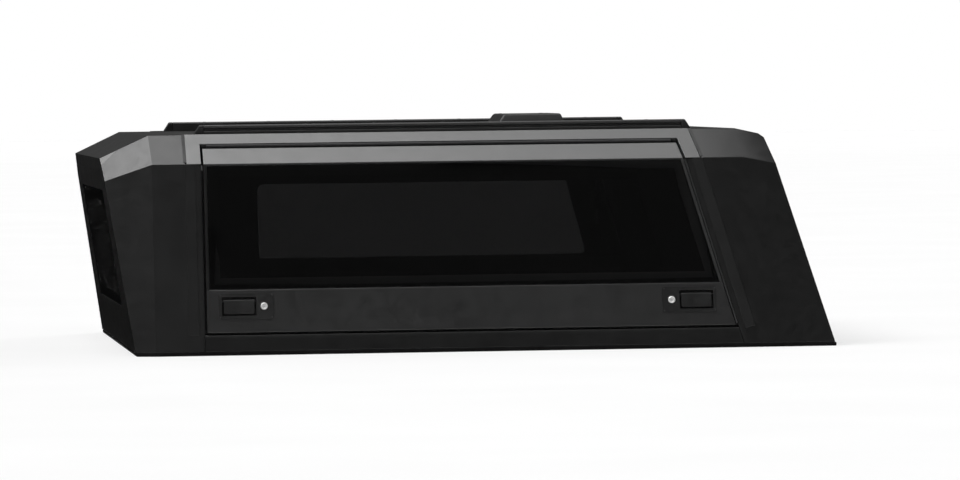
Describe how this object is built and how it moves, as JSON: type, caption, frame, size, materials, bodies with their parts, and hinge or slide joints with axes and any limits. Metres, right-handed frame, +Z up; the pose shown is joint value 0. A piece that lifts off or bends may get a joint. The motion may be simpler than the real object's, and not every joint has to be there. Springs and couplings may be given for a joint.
{
  "type": "pickup truck canopy",
  "caption": "Hard steel canopy for a pickup bed, with gull-wing side doors, a lift-up rear door, tinted windows, roof rails and a roof vent.",
  "frame": {"origin": "on the floor at the middle of the overall box", "axes": "+X towards the rear door, +Z up, and the left side of the vehicle is -Y"},
  "size_m": [1.878, 1.7, 0.602],
  "materials": {
    "body_paint": "textured matte black powder coat on folded steel",
    "tinted_glass": "dark privacy glass",
    "seal_rubber": "soft black rubber",
    "frame_steel": "black coated steel",
    "rail_coat": "black coated extrusion",
    "cap_plastic": "black moulded plastic",
    "lamp_red": "clear red lens",
    "hinge_steel": "black coated steel",
    "latch_black": "smooth black coat",
    "key_metal": "bright plated",
    "tube_black": "gloss black tube",
    "rod_chrome": "polished rod"
  },
  "bodies": {
    "shell": {"left_front_quarter": "body_paint", "right_front_quarter": "body_paint", "left_rear_quarter": "body_paint", "right_rear_quarter": "body_paint", "left_sill": "body_paint", "right_sill": "body_paint", "left_door_header": "body_paint", "right_door_header": "body_paint", "front_wall": "body_paint", "front_window": "tinted_glass", "roof_panel": "body_paint", "rear_header": "body_paint", "brake_light": "lamp_red", "base_seal": "seal_rubber", "base_rails": "frame_steel", "left_roof_rail": "rail_coat", "right_roof_rail": "rail_coat", "rail_end_caps": "cap_plastic", "roof_vent": "cap_plastic", "fixed_hinge_leaves": "hinge_steel", "strut_brackets": "frame_steel", "door_flanges": "frame_steel"},
    "left_door": {"left_door_frame": "body_paint", "left_door_glass": "tinted_glass", "left_latch_bezels": "latch_black", "left_key_barrels": "key_metal", "left_door_hinge_leaf": "hinge_steel", "left_strut_studs": "frame_steel"},
    "right_door": {"right_door_frame": "body_paint", "right_door_glass": "tinted_glass", "right_latch_bezels": "latch_black", "right_key_barrels": "key_metal", "right_door_hinge_leaf": "hinge_steel", "right_strut_studs": "frame_steel"},
    "rear_door": {"rear_door_frame": "body_paint", "rear_door_glass": "tinted_glass", "rear_latch_bezel": "latch_black", "rear_key_barrel": "key_metal", "rear_door_hinge_leaf": "hinge_steel", "rear_strut_studs": "frame_steel"},
    "left_front_paddle": {"left_front_paddle": "latch_black"},
    "left_rear_paddle": {"left_rear_paddle": "latch_black"},
    "right_front_paddle": {"right_front_paddle": "latch_black"},
    "right_rear_paddle": {"right_rear_paddle": "latch_black"},
    "rear_paddle": {"rear_paddle": "latch_black"},
    "left_strut_tubes": {"left_strut_tubes": "tube_black"},
    "left_strut_rods": {"left_strut_rods": "rod_chrome"},
    "right_strut_tubes": {"right_strut_tubes": "tube_black"},
    "right_strut_rods": {"right_strut_rods": "rod_chrome"},
    "rear_strut_tubes": {"rear_strut_tubes": "tube_black"},
    "rear_strut_rods": {"rear_strut_rods": "rod_chrome"}
  },
  "joints": [
    {"name": "left_door", "type": "hinge", "parent": "shell", "child": "left_door", "pos_m": [0, -0.71218, 0.532], "axis": [-1, 0, 0], "range_deg": [0, 85]},
    {"name": "left_strut_swing", "type": "hinge", "parent": "shell", "child": "left_strut_tubes", "pos_m": [0, -0.67419, 0.482], "axis": [-1, 0, 0], "range_deg": [-1, 83.4]},
    {"name": "left_strut_slide", "type": "slide", "parent": "left_strut_tubes", "child": "left_strut_rods", "axis": [0, -0.3826, -0.9239], "range_m": [-0.001, 0.0855]},
    {"name": "right_door", "type": "hinge", "parent": "shell", "child": "right_door", "pos_m": [0, 0.71218, 0.532], "axis": [1, 0, 0], "range_deg": [0, 85]},
    {"name": "right_strut_swing", "type": "hinge", "parent": "shell", "child": "right_strut_tubes", "pos_m": [0, 0.67419, 0.482], "axis": [1, 0, 0], "range_deg": [-1, 83.4]},
    {"name": "right_strut_slide", "type": "slide", "parent": "right_strut_tubes", "child": "right_strut_rods", "axis": [0, 0.3826, -0.9239], "range_m": [-0.001, 0.0855]},
    {"name": "rear_door", "type": "hinge", "parent": "shell", "child": "rear_door", "pos_m": [0.78546, 0, 0.505], "axis": [0, -1, 0], "range_deg": [0, 80]},
    {"name": "rear_strut_swing", "type": "hinge", "parent": "shell", "child": "rear_strut_tubes", "pos_m": [0.74747, 0, 0.455], "axis": [0, -1, 0], "range_deg": [-1, 80.1]},
    {"name": "rear_strut_slide", "type": "slide", "parent": "rear_strut_tubes", "child": "rear_strut_rods", "axis": [0.3348, 0, -0.9423], "range_m": [-0.001, 0.0823]},
    {"name": "left_front_paddle_pull", "type": "hinge", "parent": "left_door", "child": "left_front_paddle", "pos_m": [0, -0.82019, 0.13689], "axis": [-1, 0, 0], "range_deg": [0, 40], "stiffness_Nm_per_rad": 0.2, "springref_deg": -20.05},
    {"name": "left_rear_paddle_pull", "type": "hinge", "parent": "left_door", "child": "left_rear_paddle", "pos_m": [0, -0.82019, 0.13689], "axis": [-1, 0, 0], "range_deg": [0, 40], "stiffness_Nm_per_rad": 0.2, "springref_deg": -20.05},
    {"name": "right_front_paddle_pull", "type": "hinge", "parent": "right_door", "child": "right_front_paddle", "pos_m": [0, 0.82019, 0.13689], "axis": [1, 0, 0], "range_deg": [0, 40], "stiffness_Nm_per_rad": 0.2, "springref_deg": -20.05},
    {"name": "right_rear_paddle_pull", "type": "hinge", "parent": "right_door", "child": "right_rear_paddle", "pos_m": [0, 0.82019, 0.13689], "axis": [1, 0, 0], "range_deg": [0, 40], "stiffness_Nm_per_rad": 0.2, "springref_deg": -20.05},
    {"name": "rear_paddle_pull", "type": "hinge", "parent": "rear_door", "child": "rear_paddle", "pos_m": [0.90756, 0, 0.08799], "axis": [0, -1, 0], "range_deg": [0, 40], "stiffness_Nm_per_rad": 0.2, "springref_deg": -20.05}
  ],
  "couplings": [
    {"joint": "left_strut_swing", "follows": "left_door", "ratio": 0.95807},
    {"joint": "left_strut_slide", "follows": "left_door", "m_per_rad": 0.056278},
    {"joint": "right_strut_swing", "follows": "right_door", "ratio": 0.95807},
    {"joint": "right_strut_slide", "follows": "right_door", "m_per_rad": 0.056278},
    {"joint": "rear_strut_swing", "follows": "rear_door", "ratio": 0.97574},
    {"joint": "rear_strut_slide", "follows": "rear_door", "m_per_rad": 0.057533}
  ]
}
